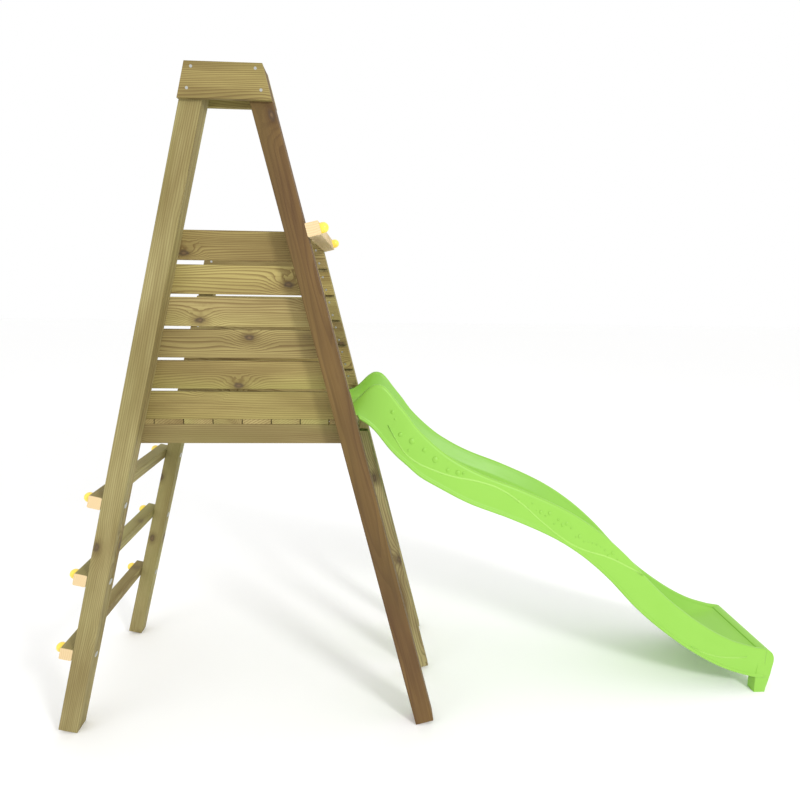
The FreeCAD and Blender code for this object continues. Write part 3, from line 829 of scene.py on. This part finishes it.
bead_faces = sum(bead(line, side) for line in (wave_line, exit_line) for side in (1.0, -1.0))
print("beads have", bead_faces, "faces")

# %% [markdown]
# ## Finish of the slide
# The plastic is polyethylene: softly glossy, slightly waxy and dyed through. The crests of
# its raised waves carry a painted highlight, a little paler. A curve node holds each line's
# height against the distance along, so the painted highlight can be masked at any point of
# the wall.

# %% slide plastic
CURVE_TOP = 1.3          # metres that the top of a curve node stands for
WALL_START = HALF_RIM + RIM_RADIUS + 0.0005
CREST_CORE = 0.0010
CREST_REACH = 0.0050
CREST_FADE = 0.03        # share of a line over which its crest fades at each end

plastic = Finish(
    "slide_green", Coat_Weight=0.08, Coat_Roughness=0.25, Specular_IOR_Level=0.35)
spot = plastic.node("ShaderNodeTexCoord", None, None, 3)
along_x, across_y, up_z = plastic.split(spot)
outside = plastic.between(
    plastic.unsigned(across_y - middle), WALL_START, WALL_START + 0.001)


def painted_crest_highlight(line, strength):
    """A mask for a painted highlight, strongest on the crest of a moulded line."""
    start, span = tower_middle + line[0][0], line[-1][0] - line[0][0]
    points = [((x - line[0][0]) / span, z / CURVE_TOP) for x, z in line]
    share = (along_x - start) * (1.0 / span)
    curve = plastic.node("ShaderNodeFloatCurve", {"points": points}, {"Value": share})
    gap = plastic.unsigned(up_z - curve * CURVE_TOP)
    ridge = (1.0 - plastic.between(gap, CREST_CORE, CREST_REACH)) * strength
    ridge = ridge * plastic.between(share, 0.0, CREST_FADE)
    return ridge * (1.0 - plastic.between(share, 1.0 - CREST_FADE, 1.0))


# Painted highlight: a paler line along the crests of the raised waves.
crest_highlight = (painted_crest_highlight(wave_line, 1.0) + painted_crest_highlight(exit_line, 0.7)) * outside
fine = plastic.noise(spot, 420.0, 2.0)
broad = plastic.noise(spot, 6.0, 3.0)
scuff = plastic.noise(plastic.joined(along_x * 6.0, across_y * 160.0, up_z * 6.0), 1.0, 4.0)
green = plastic.mix(broad, paint(133, 188, 64), paint(142, 195, 74))
# The painted highlight mixes the wave crests paler.
green = plastic.mix(crest_highlight * 0.35, green, paint(196, 236, 130))
plastic.feed("Base Color", green)
plastic.feed("Roughness", 0.38 + broad * 0.08 + plastic.between(scuff, 0.55, 0.8) * 0.12)
plastic.feed("Normal", plastic.node(
    "ShaderNodeBump", None, {"Height": fine, "Strength": 0.25, "Distance": 0.0006}))
print("slide finish made")

# %% [markdown]
# ## The rolled lip and feet
# At the lower end the skin rolls over a rounded nose and comes back down to two narrow feet.
# A side outline is extruded across the slide in slices, and each slice point is drawn in
# towards the middle by its height, so that the block tapers as the walls do. The slices
# between the two feet are lifted off the ground to leave the arch between them.

# %% lip and feet
FOOT_SLICES = [0.022, 0.019, 0.004]   # the last one makes the steep side of the arch
MIDDLE_SLICES = 10
LIP_DRAW = 0.010         # how far the lip's top is rounded in at each side
ARCH_TOP = 0.062
ARCH_CROWN = 0.004
EDGE_SLACK = 0.002
LIP_ARRIS = 0.005
CORNER_ANGLE = 50.0      # degrees above which an edge of the slide counts as a corner
LONGEST_CORNER = 0.2

end_x = deck_end + stations[-1][0]
foot_width = sum(FOOT_SLICES)
# Distance beyond the trough's end, and height: up the nose, over it and down the back.
nose = [(0.009, 0.0), (0.0115, 0.020), (0.017, 0.046), (0.027, 0.078), (0.038, 0.108),
        (0.0455, 0.128), (0.0475, 0.1415), (0.0455, 0.153), (0.0405, 0.162), (0.032, 0.1685),
        (0.020, 0.1725), (0.006, 0.1730), (-0.008, 0.1700), (-0.016, 0.150),
        (-0.036, 0.078), (-0.038, 0.066), (-0.038, 0.0)]
block = bmesh.new()
outline = [block.verts.new((end_x + x, middle - HALF_BASE, z)) for x, z in nose]
current = [block.faces.new(outline)]
middle_width = 2.0 * (HALF_BASE - foot_width) / MIDDLE_SLICES
widths = FOOT_SLICES + [middle_width] * MIDDLE_SLICES + FOOT_SLICES[::-1]
for number, width in enumerate(widths):
    grown = bmesh.ops.extrude_face_region(block, geom=current)
    moved = [item for item in grown["geom"] if isinstance(item, bmesh.types.BMVert)]
    bmesh.ops.translate(block, verts=moved, vec=(0.0, width, 0.0))
    if number:
        bmesh.ops.delete(block, geom=current, context="FACES_ONLY")
    current = [item for item in grown["geom"] if isinstance(item, bmesh.types.BMFace)]
for vert in block.verts:
    height = vert.co.z
    reach = HALF_BASE
    if height > end_base:
        share = min(1.0, (height - end_base) / (end_rim - RIM_RADIUS - end_base))
        reach = HALF_BASE + (HALF_RIM + RIM_RADIUS - HALF_BASE) * share
    if height > end_rim - RIM_RADIUS:
        over = min(1.0, (height - end_rim + RIM_RADIUS) / RIM_RADIUS)
        reach -= LIP_DRAW * over * over
    vert.co.y = middle + (vert.co.y - middle) * reach / HALF_BASE
for vert in block.verts:
    inside = abs(vert.co.y - middle) < HALF_BASE - foot_width + EDGE_SLACK
    if inside and vert.co.z < ARCH_TOP:
        vert.co.z = ARCH_TOP + ARCH_CROWN * vert.co.z / ARCH_TOP
bmesh.ops.recalc_face_normals(block, faces=block.faces)
rims = [edge for edge in block.edges
        if len(edge.link_faces) == 2 and edge.calc_length() < LONGEST_CORNER
        and edge.calc_face_angle() > math.radians(CORNER_ANGLE)]
bmesh.ops.bevel(
    block, geom=rims, offset=LIP_ARRIS, offset_type="OFFSET", affect="EDGES",
    segments=3, profile=0.5, material=-1, clamp_overlap=True)
print("lip has", len(block.faces), "faces")

# %% [markdown]
# Blow moulding leaves a wall a few millimetres thick, so the trough's skin gets a thickness
# on its inner side, which leaves the outside where it was. Two pieces make the slide: the
# trough stands for the frame's own slide, and the lip closes its end.

# %% finish the slide pieces
SKIN_THICKNESS = 0.0045

shade_smooth(skin, CORNER_ANGLE)
trough = new_piece(skin, "slide_trough")
dress(trough, plastic.material)
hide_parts("slide")
thickness = trough.modifiers.new("thickness", "SOLIDIFY")
thickness.thickness = SKIN_THICKNESS
thickness.offset = -1.0

shade_smooth(block, CORNER_ANGLE)
lip = new_piece(block, "slide_lip")
dress(lip, plastic.material)
print("slide pieces placed")
